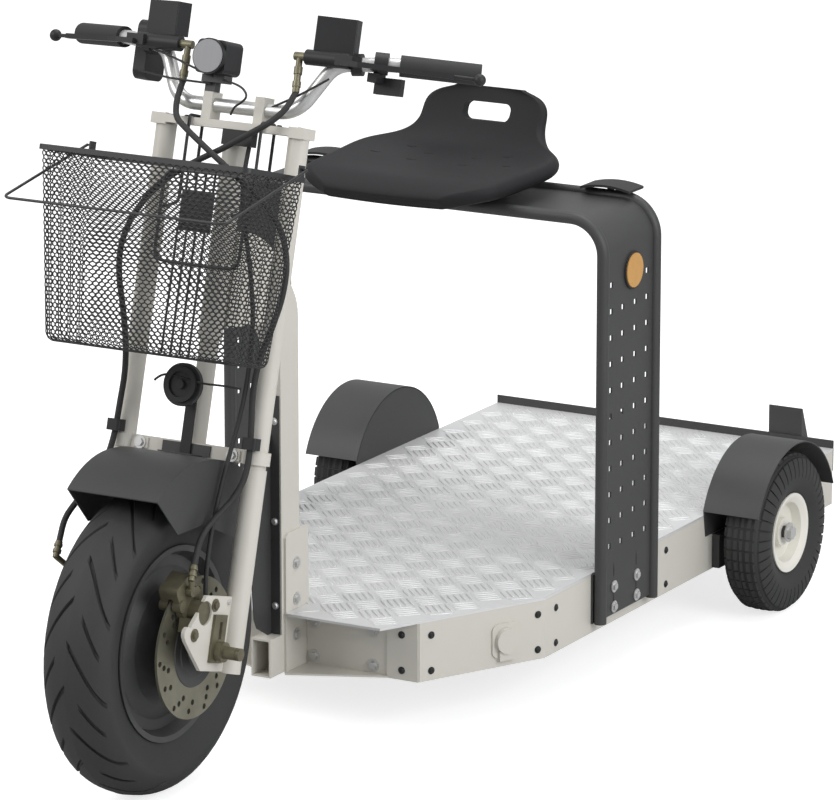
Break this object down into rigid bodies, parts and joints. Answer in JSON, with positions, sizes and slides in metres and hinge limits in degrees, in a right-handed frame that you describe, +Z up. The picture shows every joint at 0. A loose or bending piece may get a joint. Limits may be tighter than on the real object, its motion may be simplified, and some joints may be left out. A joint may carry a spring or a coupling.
{
  "type": "three-wheeled industrial platform scooter",
  "caption": "Stand-on electric cargo scooter with a low deck, a seat on an arch over it, a hub-motor front wheel on a telescopic fork, a mesh basket and a pair of rear wheels.",
  "frame": {"origin": "on the floor, midway between the front tyre's tip and the rear bracket's tip", "axes": "+Z up, the front faces -Y, the vehicle's left is +X"},
  "size_m": [0.874, 1.975, 1.1588],
  "materials": {
    "frame_paint": "satin off-white beige powder coat",
    "dark_paint": "matt anthracite powder coat",
    "deck_metal": "pale tread plate",
    "bright_steel": "bright handlebar steel",
    "olive_metal": "olive passivated fitting",
    "rubber_black": "black rubber",
    "tyre": "black tyre rubber",
    "wheel_rim": "cream wheel paint",
    "motor_metal": "dark motor casing",
    "plastic_black": "black moulding",
    "seat_plastic": "black seat shell",
    "disc_steel": "ground brake disc",
    "mesh_metal": "black coated mesh and wire",
    "lens": "clear lens",
    "amber": "amber reflector",
    "battery_case": "dark casing of the battery packs"
  },
  "bodies": {
    "frame": {"arch_feet": "dark_paint", "arch_pads": "rubber_black", "arch_panel": "dark_paint", "arch_tubes": "dark_paint", "battery_block": "battery_case", "chassis_tray": "frame_paint", "column": "frame_paint", "column_brackets": "frame_paint", "column_guard": "dark_paint", "deck_plate": "deck_metal", "head_tube": "frame_paint", "rear_bracket": "dark_paint", "rear_lip": "dark_paint", "rear_mudguards": "dark_paint", "reflector_rings": "rubber_black", "reflectors": "amber", "seat_mount": "dark_paint", "seat_shell": "seat_plastic", "socket_flange": "plastic_black", "spine_tube": "frame_paint", "stub_axles": "dark_paint"},
    "steering": {"bar_risers": "bright_steel", "basket": "mesh_metal", "basket_carrier": "mesh_metal", "basket_rim": "mesh_metal", "brake_calipers": "olive_metal", "brake_hose_left": "rubber_black", "brake_hose_right": "rubber_black", "brake_levers": "plastic_black", "cable_box": "plastic_black", "fluid_reservoirs": "plastic_black", "fork_bridge": "frame_paint", "fork_crown": "frame_paint", "fork_legs": "frame_paint", "front_axle": "olive_metal", "front_mudguard": "dark_paint", "grips": "rubber_black", "handlebar": "bright_steel", "headlamp_body": "plastic_black", "headlamp_bracket": "dark_paint", "headlamp_lens": "lens", "horn": "plastic_black", "hose_clips": "plastic_black", "hose_fittings": "olive_metal", "master_cylinders": "plastic_black", "motor_cable": "rubber_black", "mudguard_stay": "dark_paint", "stanchions": "frame_paint", "steerer": "frame_paint", "switchgear": "plastic_black"},
    "front_wheel": {"front_tyre": "tyre", "hub_motor_rim": "motor_metal", "brake_discs": "disc_steel"},
    "rear_wheel_left": {"rear_tyre_left": "tyre", "rear_rim_left": "wheel_rim"},
    "rear_wheel_right": {"rear_tyre_right": "tyre", "rear_rim_right": "wheel_rim"},
    "basket_handle": {"basket_bail": "mesh_metal"},
    "socket_cap": {"socket_lid": "plastic_black"}
  },
  "joints": [
    {"name": "steering", "type": "hinge", "parent": "frame", "child": "steering", "pos_m": [0, -0.52635, 0.81909], "axis": [0, 0.2672, 0.9636], "range_deg": [-40, 40]},
    {"name": "front_wheel", "type": "hinge", "parent": "steering", "child": "front_wheel", "pos_m": [0, -0.7505, 0.237], "axis": [1, 0, 0], "continuous": true},
    {"name": "rear_wheel_left", "type": "hinge", "parent": "frame", "child": "rear_wheel_left", "pos_m": [0.398, 0.597, 0.1365], "axis": [1, 0, 0], "continuous": true},
    {"name": "rear_wheel_right", "type": "hinge", "parent": "frame", "child": "rear_wheel_right", "pos_m": [-0.398, 0.597, 0.1365], "axis": [1, 0, 0], "continuous": true},
    {"name": "basket_handle", "type": "hinge", "parent": "steering", "child": "basket_handle", "pos_m": [0, -0.60268, 0.95545], "axis": [-1, 0, 0], "range_deg": [0, 110]},
    {"name": "socket_cap", "type": "hinge", "parent": "frame", "child": "socket_cap", "pos_m": [0.305, -0.17762, 0.101], "axis": [0.4517, 0.8922, 0], "range_deg": [0, 100]}
  ]
}
